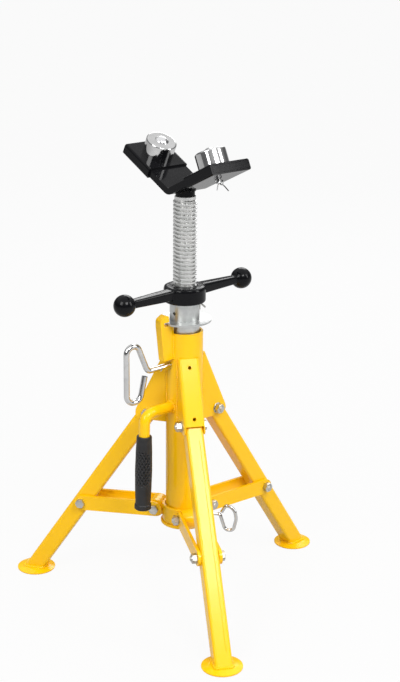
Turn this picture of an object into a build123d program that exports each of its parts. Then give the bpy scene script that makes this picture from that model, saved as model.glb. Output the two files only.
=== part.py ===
from build123d import *
import os
from math import asin, cos, hypot, radians, sin, tan

os.makedirs("parts", exist_ok=True)

# A folding pipe stand. Millimetres, +Z up, the column's axis on Z and the floor at Z = 0.
# Azimuths are degrees about the column, seen from above, from +X.
leg_azimuths = {"front": -90, "left": 150, "right": 30}
handle_azimuth = 210
lock_pin_azimuth = 206
ring_pin_azimuth = -30
nut_arm_azimuth = 29
cradle_azimuth = 26.5

# Column: the fixed outer tube, with a stop ring welded round its foot
column_radius = 60.3 / 2
column_bore = 52.5 / 2
column_foot = 126
column_top = 462
stop_ring_radius = 77 / 2
stop_ring_top = 131
hook_reach = 57
hook_foot = 420
hook_shoulder = 478
hook_top = 496
hook_thick = 12.7
slot_reach = 49.5

# Inner tube: telescopes in the column and is pinned at one of seven heights
inner_radius = 48.3 / 2
inner_bore = 40.9 / 2
inner_foot = 150
inner_top = 510
pin_height = 407
pin_pitch = 38.1
pin_holes = 7
flange_radius = 43.3
flange_foot = 478.5
flange_thick = 3
notch_floor = 38.9
notch_width = 14.8
sight_azimuth = 213
sight_height = 493.5
sight_radius = 3
clip_azimuth = -14
clip_foot = 497

# Lock pin: a round shaft with a D of wire
pin_radius = 5.5
pin_fit = 0.08
pin_tip = 24.5
pin_shoulder = 50
pin_wire = 4.75

# Legs: square tube on a bolt through a folded bracket
leg_width = 28.6
leg_wall = 3
leg_corner = 4.5
leg_angle = 34
leg_foot = 6
leg_head = 14
pivot_reach = 59
pivot_height = 318
bolt_radius = 4.75
bolt_hole = 4.8
hex_flats = 14.3
hex_height = 6
nut_height = 8.4
washer_radius = 9
washer_thick = 1.5
pad_radius = 32.5

# Brackets: plate folded to a channel that is open towards the leg
bracket_outer = 34.4
bracket_wall = 2.6
bracket_bend = 5
bracket_top = 422
bracket_foot = 306.5
web_foot = 323.5
web_reach = 79
web_top_reach = 32
web_slope = (web_reach - web_top_reach) / (bracket_top - web_foot)
web_holes = (409, 334)
web_hole_radius = 3

# Collar: slides up the column as the legs fold, with a bushing for each pair of straps
collar_radius = 36
collar_bore = 62.7 / 2
collar_foot = 131.3
collar_top = 159.5
lug_reach = 46
lug_height = 148.6
lug_radius = 15
lug_length = 28.8
ring_pin_height = 146
ring_pin_radius = 2.9
ring_pin_hole = 3
ring_pin_tip = 30.6

# Straps: two flat bars a leg
strap_width = 25.4
strap_thick = 5
strap_inside = 14.6
strut_distance = 212
fold_angle = 20.5

# Carry handle: its rod leaves the column level and then hangs, leaning out a little
rod_radius = 9
handle_height = 337
handle_reach = 86.3
handle_lean = 1.7
handle_bend = 17
grip_start = 36
grip_end = 162
grip_cap = 5

# Jack nut: a hub with two arms, cast in one piece
hub_radius = 34
hub_foot = 510.3
hub_top = 537
arm_height = 526
ball_reach = 125
ball_radius = 17.6
arm_root = (26, 21, 18)
arm_tip = (114, 14, 13)
arm_corner = 4

# Jack screw
screw_crest = 19.05
screw_root = 15.7
screw_bore = 9.6
screw_pitch = 6.35
crest_flat = 2.35
screw_foot = 445
screw_top = 683
thread_top = 677
socket_depth = 65

# Head: a bent plate on a post that turns in the top of the screw
wing_angle = 26
wing_length = 117
wing_thick = 11
cradle_length = 70.6
apex_height = 698.7
outer_bend = 20
inner_bend = 2.5
gusset_reach = 26
post_radius = 15.5
post_foot = 683.3
post_shank = 9.5
shank_length = 62
web_half = 4

# Shoes: flat sleeves on the wings, each with a ball in a cup
shoe_start = 48
shoe_width = 77.2
shoe_height = 17.6
shoe_wall = 3
cup_station = 80
cup_radius = 24.7
cup_height = 27.5
socket_radius = 13
roller_radius = 12.7
roller_height = cup_height + 5.5 - roller_radius
stem_radius = 4
stem_hole = 4.3
stem_out = 6
clip_wire = 1
clip_eye = 3.6
clip_height = 4 - shoe_height - stem_out


def outward(azimuth):
    """The level unit vector that points away from the column."""
    return Vector(1, 0, 0).rotate(Axis.Z, azimuth)


def across(azimuth):
    """The level unit vector a quarter turn on from the outward one."""
    return outward(azimuth + 90)


def side_plane(azimuth, shift=0.0):
    """An upright plane beside the axis: x runs outward and y runs up."""
    return Plane(origin=across(azimuth) * shift, x_dir=outward(azimuth), z_dir=-across(azimuth))


def facing_plane(azimuth, distance, height):
    """An upright plane that faces outward, with y up."""
    origin = outward(azimuth) * distance + Vector(0, 0, height)
    return Plane(origin=origin, x_dir=across(azimuth), z_dir=outward(azimuth))


def bolt_plane(azimuth, reach, height, shift):
    """A plane square to a level bolt: z runs across, from the nut to the head."""
    origin = outward(azimuth) * reach + across(azimuth) * shift + Vector(0, 0, height)
    return Plane(origin=origin, x_dir=outward(azimuth), z_dir=across(azimuth))


def disc(plane, radius):
    with BuildSketch(plane) as face:
        Circle(radius)
    return face.sketch


def ring(plane, outer, inner):
    with BuildSketch(plane) as face:
        Circle(outer)
        Circle(inner, mode=Mode.SUBTRACT)
    return face.sketch


def hexagon(plane, bore=0.0):
    with BuildSketch(plane) as face:
        RegularPolygon(hex_flats / 2, 6, major_radius=False)
        if bore:
            Circle(bore, mode=Mode.SUBTRACT)
    return face.sketch


# The bolt at the tip of the straps, and how far the collar rises as the legs fold
tip_reach = pivot_reach + strut_distance * sin(radians(leg_angle))
tip_height = pivot_height - strut_distance * cos(radians(leg_angle))
strap_length = hypot(tip_reach - lug_reach, lug_height - tip_height)
folded_angle = radians(leg_angle - fold_angle)
folded_reach = pivot_reach + strut_distance * sin(folded_angle) - lug_reach
folded_tip = pivot_height - strut_distance * cos(folded_angle)
strap_rise = strap_length * cos(asin(folded_reach / strap_length))
collar_travel = folded_tip + strap_rise - lug_height

# Column tube, with the lock pin's hole and the two heights of the ring pin
with BuildPart() as column_tube:
    column_ring = ring(Plane.XY.offset(column_foot), column_radius, column_bore)
    extrude(column_ring, amount=column_top - column_foot)
    chamfer(column_tube.edges().group_by(Axis.Z)[-1], 0.8)
    extrude(
        disc(facing_plane(lock_pin_azimuth, 0, pin_height), pin_radius + pin_fit),
        amount=column_radius + 1,
        mode=Mode.SUBTRACT,
    )
    for height in (ring_pin_height, ring_pin_height + collar_travel):
        extrude(
            disc(facing_plane(ring_pin_azimuth, 0, height), ring_pin_hole),
            amount=column_radius + 1,
            mode=Mode.SUBTRACT,
        )
column_tube.part.label = "column_tube"
export_step(column_tube.part, "parts/column_tube.step")

with BuildPart() as stop_ring:
    foot_ring = ring(Plane.XY.offset(column_foot), stop_ring_radius, column_radius)
    extrude(foot_ring, amount=stop_ring_top - column_foot)
    chamfer(stop_ring.edges().filter_by(GeomType.CIRCLE).group_by(SortBy.RADIUS)[-1], 1)
stop_ring.part.label = "stop_ring"
export_step(stop_ring.part, "parts/stop_ring.step")

# Hold-down hook: a thick plate welded to the column that catches the inner tube's flange
with BuildPart() as hold_down_hook:
    with BuildSketch(side_plane(handle_azimuth)) as hook_face:
        with BuildLine():
            Polyline(
                (28, hook_foot),
                (hook_reach - 7, hook_foot),
                (hook_reach, hook_shoulder),
                (hook_reach, hook_top - 6),
                (hook_reach - 12, hook_top),
                (notch_floor + 0.5, hook_top - 3),
                (notch_floor + 0.5, flange_foot + flange_thick + 2.5),
                (slot_reach, flange_foot + flange_thick + 2.5),
                (slot_reach, flange_foot - 1.5),
                (column_radius + 0.5, flange_foot - 1.5),
                (28, column_top),
                close=True,
            )
        make_face()
        fillet(hook_face.vertices().sort_by_distance((hook_reach, hook_top - 6, 0))[0], 6)
        fillet(hook_face.vertices().sort_by_distance((hook_reach - 12, hook_top, 0))[0], 4)
        fillet(hook_face.vertices().sort_by_distance((hook_reach, hook_shoulder, 0))[0], 12)
    extrude(amount=hook_thick / 2, both=True)
    extrude(disc(Plane.XY.offset(column_foot), column_radius), amount=400, mode=Mode.SUBTRACT)
hold_down_hook.part.label = "hold_down_hook"
export_step(hold_down_hook.part, "parts/hold_down_hook.step")

# Carry handle: a bent rod with a moulded grip pushed on its end
handle_corner = outward(handle_azimuth) * handle_reach + Vector(0, 0, handle_height)
lean_turn = Axis((0, 0, 0), across(handle_azimuth))
hang_up = Vector(0, 0, 1).rotate(lean_turn, -handle_lean)
hang_out = outward(handle_azimuth).rotate(lean_turn, -handle_lean)
hang_plane = Plane(origin=handle_corner, x_dir=hang_out, z_dir=-across(handle_azimuth))

with BuildPart() as handle_rod:
    with BuildLine() as handle_route:
        FilletPolyline(
            outward(handle_azimuth) * 28 + Vector(0, 0, handle_height),
            handle_corner,
            handle_corner - hang_up * (grip_end - grip_cap),
            radius=handle_bend,
        )
    with BuildSketch(Plane(origin=handle_route.line @ 0, z_dir=handle_route.line % 0)):
        Circle(rod_radius)
    sweep()
    extrude(disc(Plane.XY.offset(column_foot), column_radius), amount=300, mode=Mode.SUBTRACT)
handle_rod.part.label = "handle_rod"
export_step(handle_rod.part, "parts/handle_rod.step")

with BuildPart() as handle_grip:
    with BuildSketch(hang_plane):
        with BuildLine():
            grip_curve = Spline(
                (12.4, -grip_start - 1.2),
                (14, -grip_start - 60),
                (12.6, -grip_end + 11),
            )
            Polyline(
                grip_curve @ 1,
                (13.9, -grip_end + 7),
                (13.9, -grip_end + 1.5),
                (12.4, -grip_end),
                (0, -grip_end),
                (0, -grip_end + grip_cap),
                (rod_radius, -grip_end + grip_cap),
                (rod_radius, -grip_start),
                (11.6, -grip_start),
                grip_curve @ 0,
            )
        make_face()
    revolve(axis=Axis(handle_corner, hang_up))
handle_grip.part.label = "handle_grip"
export_step(handle_grip.part, "parts/handle_grip.step")

# Inner tube, with a row of pin holes in the wall that faces the lock pin and one more near its top
with BuildPart() as inner_tube:
    extrude(ring(Plane.XY.offset(inner_foot), inner_radius, inner_bore), amount=inner_top - inner_foot)
    for step in range(pin_holes):
        extrude(
            disc(facing_plane(lock_pin_azimuth, 0, pin_height - step * pin_pitch), pin_radius + pin_fit),
            amount=inner_radius + 1,
            mode=Mode.SUBTRACT,
        )
    extrude(
        disc(facing_plane(sight_azimuth, 0, sight_height), sight_radius),
        amount=inner_radius + 1,
        mode=Mode.SUBTRACT,
    )
inner_tube.part.label = "inner_tube"
export_step(inner_tube.part, "parts/inner_tube.step")

# Stop flange: a washer welded on the inner tube, notched so that it lifts past the hook
with BuildPart() as stop_flange:
    extrude(ring(Plane.XY.offset(flange_foot), flange_radius, inner_radius), amount=flange_thick)
    with BuildSketch(facing_plane(handle_azimuth, notch_floor, flange_foot)):
        Rectangle(notch_width, 4 * flange_thick)
    extrude(amount=10, mode=Mode.SUBTRACT)
stop_flange.part.label = "stop_flange"
export_step(stop_flange.part, "parts/stop_flange.step")

# A small clip on the tube's side, just under the nut, bent out and down
with BuildPart() as tube_clip:
    with BuildSketch(side_plane(clip_azimuth)):
        with BuildLine():
            Polyline(
                (inner_radius - 1, clip_foot),
                (inner_radius + 1.3, clip_foot),
                (inner_radius + 1.3, clip_foot + 8.6),
                (inner_radius + 8.5, clip_foot + 2.4),
                (inner_radius + 9.5, clip_foot + 3.6),
                (inner_radius + 1.3, clip_foot + 11),
                (inner_radius - 1, clip_foot + 11),
                close=True,
            )
        make_face()
    extrude(amount=3, both=True)
    extrude(disc(Plane.XY.offset(inner_foot), inner_radius), amount=400, mode=Mode.SUBTRACT)
tube_clip.part.label = "tube_clip"
export_step(tube_clip.part, "parts/tube_clip.step")

# Lock pin, drawn just clear of the inner tube
with BuildPart() as lock_pin_shaft:
    pin_end = disc(facing_plane(lock_pin_azimuth, pin_tip, pin_height), pin_radius)
    extrude(pin_end, amount=pin_shoulder - pin_tip)
    pin_axis = Axis((0, 0, pin_height), outward(lock_pin_azimuth))
    chamfer(lock_pin_shaft.edges().filter_by(GeomType.CIRCLE).sort_by(pin_axis)[0], 1)
lock_pin_shaft.part.label = "lock_pin_shaft"
export_step(lock_pin_shaft.part, "parts/lock_pin_shaft.step")

with BuildPart() as lock_pin_handle:
    with BuildLine(side_plane(lock_pin_azimuth)) as pin_route:
        FilletPolyline(
            (pin_shoulder, pin_height),
            (76, pin_height),
            (95.5, pin_height + 46.5),
            (117.1, pin_height + 46.5),
            (117.1, pin_height - 47.3),
            (90.4, pin_height - 47.3),
            (81.3, pin_height - 7.5),
            radius=[10, 12.5, 12.5, 14, 13],
        )
    with BuildSketch(Plane(origin=pin_route.line @ 0, z_dir=pin_route.line % 0)):
        Circle(pin_wire)
    sweep()
lock_pin_handle.part.label = "lock_pin_handle"
export_step(lock_pin_handle.part, "parts/lock_pin_handle.step")


# The bracket's sloping bends, and the web's thickness measured level
web_run = hypot(web_reach - web_top_reach, bracket_top - web_foot)
web_inset = bracket_wall * hypot(1, web_slope)

for side, azimuth in leg_azimuths.items():
    with BuildPart() as bracket:
        with BuildSketch(side_plane(azimuth)) as bracket_face:
            with BuildLine():
                Polyline(
                    (26, bracket_top),
                    (web_top_reach, bracket_top),
                    (web_reach, web_foot),
                    (web_reach, bracket_foot),
                    (26, bracket_foot),
                    close=True,
                )
            make_face()
            fillet(bracket_face.vertices().sort_by_distance((web_reach, bracket_foot, 0))[0], 10)
        extrude(amount=bracket_outer / 2, both=True)
        fillet(bracket.edges().filter_by(lambda e: abs(e.length - web_run) < 0.01), bracket_bend)
        with BuildSketch(side_plane(azimuth)):
            with BuildLine():
                Polyline(
                    (0, web_foot + (web_reach - web_inset) / web_slope),
                    (web_reach - web_inset, web_foot),
                    (web_reach + 10, web_foot),
                    (web_reach + 10, bracket_foot - 10),
                    (0, bracket_foot - 10),
                    close=True,
                )
            make_face()
        extrude(amount=bracket_outer / 2 - bracket_wall, both=True, mode=Mode.SUBTRACT)
        extrude(disc(Plane.XY.offset(column_foot), column_radius), amount=400, mode=Mode.SUBTRACT)
        for height in web_holes:
            extrude(
                disc(facing_plane(azimuth, column_radius + 1, height), web_hole_radius),
                amount=60,
                mode=Mode.SUBTRACT,
            )
        extrude(
            disc(bolt_plane(azimuth, pivot_reach, pivot_height, 0), bolt_hole),
            amount=30,
            both=True,
            mode=Mode.SUBTRACT,
        )
    bracket.part.label = f"bracket_{side}"
    export_step(bracket.part, f"parts/bracket_{side}.step")

# Pivot bolts, washers and nuts, three of each on the brackets
plate_face = bracket_outer / 2
with BuildPart() as pivot_bolts:
    for azimuth in leg_azimuths.values():
        extrude(hexagon(bolt_plane(azimuth, pivot_reach, pivot_height, plate_face)), amount=hex_height)
        extrude(
            disc(bolt_plane(azimuth, pivot_reach, pivot_height, plate_face), bolt_radius),
            amount=-(bracket_outer + washer_thick + nut_height + 2),
        )
pivot_bolts.part.label = "pivot_bolts"
export_step(pivot_bolts.part, "parts/pivot_bolts.step")

with BuildPart() as pivot_washers:
    for azimuth in leg_azimuths.values():
        extrude(
            ring(bolt_plane(azimuth, pivot_reach, pivot_height, -plate_face), washer_radius, bolt_hole),
            amount=-washer_thick,
        )
pivot_washers.part.label = "pivot_washers"
export_step(pivot_washers.part, "parts/pivot_washers.step")

with BuildPart() as pivot_nuts:
    for azimuth in leg_azimuths.values():
        extrude(
            hexagon(bolt_plane(azimuth, pivot_reach, pivot_height, -plate_face - washer_thick), bolt_radius),
            amount=-nut_height,
        )
pivot_nuts.part.label = "pivot_nuts"
export_step(pivot_nuts.part, "parts/pivot_nuts.step")

# Legs and their foot pads
for side, azimuth in leg_azimuths.items():
    pivot = outward(azimuth) * pivot_reach + Vector(0, 0, pivot_height)
    leg_up = Vector(0, 0, 1).rotate(Axis((0, 0, 0), across(azimuth)), -leg_angle)
    leg_out = outward(azimuth).rotate(Axis((0, 0, 0), across(azimuth)), -leg_angle)
    leg_reach = (pivot_height - leg_foot) / cos(radians(leg_angle)) + leg_width
    leg_bore = leg_width - 2 * leg_wall

    with BuildPart() as leg_tube:
        with BuildSketch(Plane(origin=pivot - leg_up * leg_reach, x_dir=across(azimuth), z_dir=leg_up)):
            RectangleRounded(leg_width, leg_width, leg_corner)
            RectangleRounded(leg_bore, leg_bore, leg_corner - leg_wall, mode=Mode.SUBTRACT)
        extrude(amount=leg_reach + leg_head)
        split(bisect_by=Plane.XY.offset(leg_foot), keep=Keep.TOP)
        leg_side = Plane(origin=pivot, x_dir=leg_out, z_dir=-across(azimuth))
        with BuildSketch(leg_side):
            with BuildLine():
                Polyline((3.5, 14.5), (17, 14.5), (17, 1), close=True)
            make_face()
        extrude(amount=leg_width, both=True, mode=Mode.SUBTRACT)
        for distance, radius in ((0, bolt_hole), (strut_distance, 5)):
            with BuildSketch(leg_side):
                with Locations((0, -distance)):
                    Circle(radius)
            extrude(amount=leg_width, both=True, mode=Mode.SUBTRACT)
    leg_tube.part.label = f"leg_tube_{side}"
    export_step(leg_tube.part, f"parts/leg_tube_{side}.step")

    pad_reach = pivot_reach + (pivot_height - leg_foot) * tan(radians(leg_angle)) + 0.5
    with BuildPart() as foot_pad:
        with BuildSketch(side_plane(azimuth)):
            with BuildLine():
                Polyline(
                    (pad_reach, 0),
                    (pad_reach + pad_radius - 0.6, 0),
                    (pad_reach + pad_radius, 0.6),
                    (pad_reach + pad_radius, 2.5),
                    (pad_reach + 23.5, 5.2),
                    (pad_reach + 20.5, leg_foot),
                    (pad_reach, leg_foot),
                    close=True,
                )
            make_face()
        revolve(axis=Axis(outward(azimuth) * pad_reach, (0, 0, 1)))
    foot_pad.part.label = f"foot_pad_{side}"
    export_step(foot_pad.part, f"parts/foot_pad_{side}.step")

# Collar, with one bushing for each pair of straps
with BuildPart() as collar_ring:
    extrude(ring(Plane.XY.offset(collar_foot), collar_radius, collar_bore), amount=collar_top - collar_foot)
    chamfer(collar_ring.edges().filter_by(GeomType.CIRCLE).group_by(SortBy.RADIUS)[-1], 0.8)
    extrude(
        disc(facing_plane(ring_pin_azimuth, 0, ring_pin_height), ring_pin_hole),
        amount=collar_radius + 1,
        mode=Mode.SUBTRACT,
    )
collar_ring.part.label = "collar_ring"
export_step(collar_ring.part, "parts/collar_ring.step")

for side, azimuth in leg_azimuths.items():
    with BuildPart() as lug:
        extrude(
            ring(bolt_plane(azimuth, lug_reach, lug_height, 0), lug_radius, bolt_hole),
            amount=lug_length / 2,
            both=True,
        )
        extrude(disc(Plane.XY.offset(column_foot), collar_radius), amount=60, mode=Mode.SUBTRACT)
    lug.part.label = f"lug_{side}"
    export_step(lug.part, f"parts/lug_{side}.step")

strap_outside = strap_inside + strap_thick
bolt_seat = strap_outside + 0.3
with BuildPart() as lug_bolts:
    for azimuth in leg_azimuths.values():
        extrude(hexagon(bolt_plane(azimuth, lug_reach, lug_height, bolt_seat)), amount=hex_height)
        extrude(
            disc(bolt_plane(azimuth, lug_reach, lug_height, bolt_seat), bolt_radius),
            amount=-(2 * bolt_seat + nut_height + 2),
        )
lug_bolts.part.label = "lug_bolts"
export_step(lug_bolts.part, "parts/lug_bolts.step")

with BuildPart() as lug_nuts:
    for azimuth in leg_azimuths.values():
        nut_face = hexagon(bolt_plane(azimuth, lug_reach, lug_height, -bolt_seat), bolt_radius)
        extrude(nut_face, amount=-nut_height)
lug_nuts.part.label = "lug_nuts"
export_step(lug_nuts.part, "parts/lug_nuts.step")

# Straps from the collar to the legs, and the bolt at each leg
for side, azimuth in leg_azimuths.items():
    strap_run = outward(azimuth) * (tip_reach - lug_reach) + Vector(0, 0, tip_height - lug_height)
    for name, inner_face in (("a", strap_inside), ("b", -strap_outside)):
        start = bolt_plane(azimuth, lug_reach, lug_height, inner_face)
        with BuildPart() as strap:
            with BuildSketch(Plane(origin=start.origin, x_dir=strap_run, z_dir=across(azimuth))):
                with Locations((strap_length / 2, 0)):
                    SlotCenterToCenter(strap_length, strap_width)
                with Locations((0, 0), (strap_length, 0)):
                    Circle(bolt_hole, mode=Mode.SUBTRACT)
            extrude(amount=strap_thick)
        strap.part.label = f"strap_{side}_{name}"
        export_step(strap.part, f"parts/strap_{side}_{name}.step")

    with BuildPart() as strap_bolt:
        head_plane = bolt_plane(azimuth, tip_reach, tip_height, strap_outside)
        nut_plane = bolt_plane(azimuth, tip_reach, tip_height, -strap_outside)
        extrude(hexagon(head_plane), amount=hex_height)
        extrude(disc(head_plane, bolt_radius), amount=-strap_thick)
        extrude(hexagon(nut_plane), amount=-nut_height)
        extrude(disc(nut_plane, bolt_radius), amount=strap_thick)
        extrude(disc(nut_plane, bolt_radius), amount=-nut_height - 2)
    strap_bolt.part.label = f"strap_bolt_{side}"
    export_step(strap_bolt.part, f"parts/strap_bolt_{side}.step")

# Ring pin: a straight shank and a pull ring, bent from one wire
with BuildPart() as ring_pin:
    with BuildLine(side_plane(ring_pin_azimuth)) as ring_route:
        FilletPolyline(
            (ring_pin_tip, ring_pin_height),
            (63.2, ring_pin_height),
            (72.3, ring_pin_height - 27.2),
            (86.5, ring_pin_height - 27),
            (91.5, ring_pin_height - 5),
            (89, ring_pin_height + 8),
            (81, ring_pin_height + 16.2),
            (72.5, ring_pin_height + 15.8),
            (66.3, ring_pin_height + 4.2),
            radius=[5, 8, 8, 20, 14, 9, 6],
        )
    with BuildSketch(Plane(origin=ring_route.line @ 0, z_dir=ring_route.line % 0)):
        Circle(ring_pin_radius)
    sweep()
ring_pin.part.label = "ring_pin"
export_step(ring_pin.part, "parts/ring_pin.step")

# Jack nut: hub, two tapered arms and two balls
with BuildPart() as nut_handle:
    with BuildSketch(Plane.XY.offset(hub_foot)):
        Circle(hub_radius)
    extrude(amount=hub_top - hub_foot)
    fillet(nut_handle.edges().group_by(Axis.Z)[-1], 2)
    fillet(nut_handle.edges().group_by(Axis.Z)[0], 2)
    for azimuth in (nut_arm_azimuth, nut_arm_azimuth + 180):
        for distance, width, height in (arm_root, arm_tip):
            with BuildSketch(facing_plane(azimuth, distance, arm_height)):
                RectangleRounded(width, height, arm_corner)
        loft()
        with Locations(outward(azimuth) * ball_reach + Vector(0, 0, arm_height)):
            Sphere(ball_radius)
    extrude(disc(Plane.XY.offset(hub_foot - 5), screw_crest + 0.3), amount=40, mode=Mode.SUBTRACT)
nut_handle.part.label = "nut_handle"
export_step(nut_handle.part, "parts/nut_handle.step")

# Jack screw: flat-topped ridges one pitch apart, with a bore for the head's shank
flank_width = screw_pitch / 2 - crest_flat + 0.4
thread_count = int((thread_top - screw_foot) / screw_pitch)
with BuildPart() as jack_screw:
    with BuildSketch(Plane.XZ):
        thread_points = [(0, screw_foot), (screw_root, screw_foot)]
        for turn in range(thread_count):
            start = screw_foot + 1 + turn * screw_pitch
            thread_points += [
                (screw_root, start),
                (screw_crest, start + flank_width),
                (screw_crest, start + flank_width + crest_flat),
                (screw_root, start + 2 * flank_width + crest_flat),
            ]
        thread_points += [
            (screw_root, thread_top),
            (17, thread_top + 0.6),
            (17, screw_top - 0.8),
            (16.2, screw_top),
            (0, screw_top),
        ]
        with BuildLine():
            Polyline(*thread_points, close=True)
        make_face()
    revolve(axis=Axis.Z)
    extrude(disc(Plane.XY.offset(screw_top), screw_bore), amount=-socket_depth, mode=Mode.SUBTRACT)
jack_screw.part.label = "jack_screw"
export_step(jack_screw.part, "parts/jack_screw.step")

# Head. The cradle axis is the pipe's own; each wing climbs away from it at wing_angle.
cradle_axis = outward(cradle_azimuth)
wing_level = -across(cradle_azimuth)
apex = Vector(0, 0, apex_height)
cradle_plane = Plane(origin=(0, 0, 0), x_dir=wing_level, z_dir=wing_level.cross(Vector(0, 0, 1)))


def wing_point(station, depth):
    """A corner of the wing's section: along the top face from the apex, then below it."""
    tilt = radians(wing_angle)
    return (
        station * cos(tilt) + depth * sin(tilt),
        apex_height + station * sin(tilt) - depth * cos(tilt),
    )


def mirrored(point):
    return (-point[0], point[1])


with BuildPart() as vee_blank:
    with BuildSketch(cradle_plane) as vee_face:
        tip_top = wing_point(wing_length, 0)
        tip_under = wing_point(wing_length, wing_thick)
        bend_under = (0, apex_height - wing_thick / cos(radians(wing_angle)))
        with BuildLine():
            Polyline(
                (0, apex_height),
                tip_top,
                tip_under,
                bend_under,
                mirrored(tip_under),
                mirrored(tip_top),
                close=True,
            )
        make_face()
        fillet(vee_face.vertices().sort_by_distance((*bend_under, 0))[0], outer_bend)
        fillet(vee_face.vertices().sort_by_distance((0, apex_height, 0))[0], inner_bend)
    extrude(amount=cradle_length / 2, both=True)


def wing_frame(sign, station, depth):
    """A plane on the wing: x along the cradle axis and z square out of the top face."""
    level = wing_level * sign
    along = level * cos(radians(wing_angle)) + Vector(0, 0, sin(radians(wing_angle)))
    normal = level * -sin(radians(wing_angle)) + Vector(0, 0, cos(radians(wing_angle)))
    return Plane(origin=apex + along * station - normal * depth, x_dir=cradle_axis, z_dir=normal)


def wing_section(sign, station, depth):
    """A plane across the wing: x along the cradle axis and z up the slope."""
    level = wing_level * sign
    along = level * cos(radians(wing_angle)) + Vector(0, 0, sin(radians(wing_angle)))
    return Plane(origin=wing_frame(sign, station, depth).origin, x_dir=cradle_axis, z_dir=along)


shoe_top = (shoe_height - wing_thick) / 2

# Post: fills the bend from below with a gusset to each side, and its shank turns in the screw
with BuildPart() as head_post:
    extrude(disc(Plane.XY.offset(post_foot), post_radius), amount=apex_height - 4 - post_foot)
    extrude(disc(Plane.XY.offset(post_foot - shank_length), post_shank), amount=shank_length)
    with BuildSketch(cradle_plane):
        with BuildLine():
            Polyline(
                (-gusset_reach, apex_height + 3.3),
                (-post_radius + 1.5, post_foot + 4.7),
                (post_radius - 1.5, post_foot + 4.7),
                (gusset_reach, apex_height + 3.3),
                (0, apex_height - 6.7),
                close=True,
            )
        make_face()
    extrude(amount=web_half, both=True)
    add(vee_blank.part, mode=Mode.SUBTRACT)
head_post.part.label = "head_post"
export_step(head_post.part, "parts/head_post.step")

with BuildPart() as vee_plate:
    add(vee_blank.part)
    for sign in (1, -1):
        extrude(disc(wing_frame(sign, cup_station, -5), stem_hole), amount=-30, mode=Mode.SUBTRACT)
vee_plate.part.label = "vee_plate"
export_step(vee_plate.part, "parts/vee_plate.step")

for side, sign in (("left", -1), ("right", 1)):
    with BuildPart() as shoe:
        with BuildSketch(wing_section(sign, shoe_start, wing_thick / 2)):
            RectangleRounded(shoe_width, shoe_height, 3.5)
            RectangleRounded(shoe_width - 2 * shoe_wall, shoe_height - 2 * shoe_wall, 0.8, mode=Mode.SUBTRACT)
        extrude(amount=wing_length - shoe_start)
        extrude(disc(wing_frame(sign, cup_station, -10), stem_hole), amount=-40, mode=Mode.SUBTRACT)
    shoe.part.label = f"shoe_{side}"
    export_step(shoe.part, f"parts/shoe_{side}.step")

    with BuildPart(wing_frame(sign, cup_station, -shoe_top)) as ball_cup:
        Cylinder(cup_radius, cup_height, align=(Align.CENTER, Align.CENTER, Align.MIN))
        cup_axis = Axis(apex, wing_frame(sign, 0, 0).z_dir)
        fillet(ball_cup.edges().filter_by(GeomType.CIRCLE).sort_by(cup_axis)[-1], 3)
        with Locations((0, 0, roller_height)):
            Sphere(socket_radius, mode=Mode.SUBTRACT)
        Cylinder(stem_radius, shoe_height + stem_out, align=(Align.CENTER, Align.CENTER, Align.MAX))
        with Locations((0, 0, clip_height)):
            Cylinder(clip_wire + 0.3, 12, rotation=(0, 90, 0), mode=Mode.SUBTRACT)
    ball_cup.part.label = f"ball_cup_{side}"
    export_step(ball_cup.part, f"parts/ball_cup_{side}.step")

    # Spring clip: its shank goes through the stem, coils once beside it and ends in two tails
    clip_hole = wing_frame(sign, cup_station, -shoe_top - clip_height).origin
    eye_centre = clip_hole + cradle_axis * (stem_radius + 2.5) - Vector(0, 0, clip_eye)
    eye_plane = Plane(origin=eye_centre, x_dir=-wing_level, z_dir=cradle_axis)
    with BuildPart(eye_plane) as clip:
        Torus(clip_eye, clip_wire)
        with Locations((0, clip_eye, 0)):
            Cylinder(clip_wire + 0.1, 2 * stem_radius + 5, align=(Align.CENTER, Align.CENTER, Align.MAX))
        for tail_points in (((-10, -14), (-7.5, -4.5), (-3.3, -1.4)), ((17, -10.5), (8.5, -5.4), (2.4, -2.7))):
            with BuildLine(eye_plane) as tail:
                FilletPolyline([(-x * sign, y) for x, y in tail_points], radius=2)
            with BuildSketch(Plane(origin=tail.line @ 0, z_dir=tail.line % 0)):
                Circle(clip_wire - 0.1)
            sweep(path=tail.line)
    clip.part.label = f"clip_{side}"
    export_step(clip.part, f"parts/clip_{side}.step")

    with BuildPart(wing_frame(sign, cup_station, -shoe_top)) as roller_ball:
        with Locations((0, 0, roller_height)):
            Sphere(roller_radius)
    roller_ball.part.label = f"roller_ball_{side}"
    export_step(roller_ball.part, f"parts/roller_ball_{side}.step")
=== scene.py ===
"""Looks of a folding pipe stand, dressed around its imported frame.

Lengths in the classes are millimetres in the row frame: +Z up the column, the floor at zero.
"""

import logging
import math
from dataclasses import dataclass
from enum import Enum
from typing import Callable, Iterable, Optional, Sequence

import bmesh
import bpy
from mathutils import Matrix, Vector, noise


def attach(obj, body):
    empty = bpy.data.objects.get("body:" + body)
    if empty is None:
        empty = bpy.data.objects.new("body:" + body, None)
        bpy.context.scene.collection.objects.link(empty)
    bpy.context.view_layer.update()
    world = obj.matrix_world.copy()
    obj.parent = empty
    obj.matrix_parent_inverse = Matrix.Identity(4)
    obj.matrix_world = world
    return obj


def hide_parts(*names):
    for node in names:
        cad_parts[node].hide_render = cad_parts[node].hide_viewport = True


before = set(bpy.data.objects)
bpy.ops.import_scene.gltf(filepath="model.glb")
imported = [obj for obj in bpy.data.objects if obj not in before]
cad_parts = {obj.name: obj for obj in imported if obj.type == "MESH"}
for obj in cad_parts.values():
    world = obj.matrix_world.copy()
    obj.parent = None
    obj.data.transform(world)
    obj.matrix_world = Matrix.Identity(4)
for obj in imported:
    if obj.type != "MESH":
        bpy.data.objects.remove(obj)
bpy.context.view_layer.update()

LOG = logging.getLogger("pipe_stand")
MM = 0.001
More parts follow.
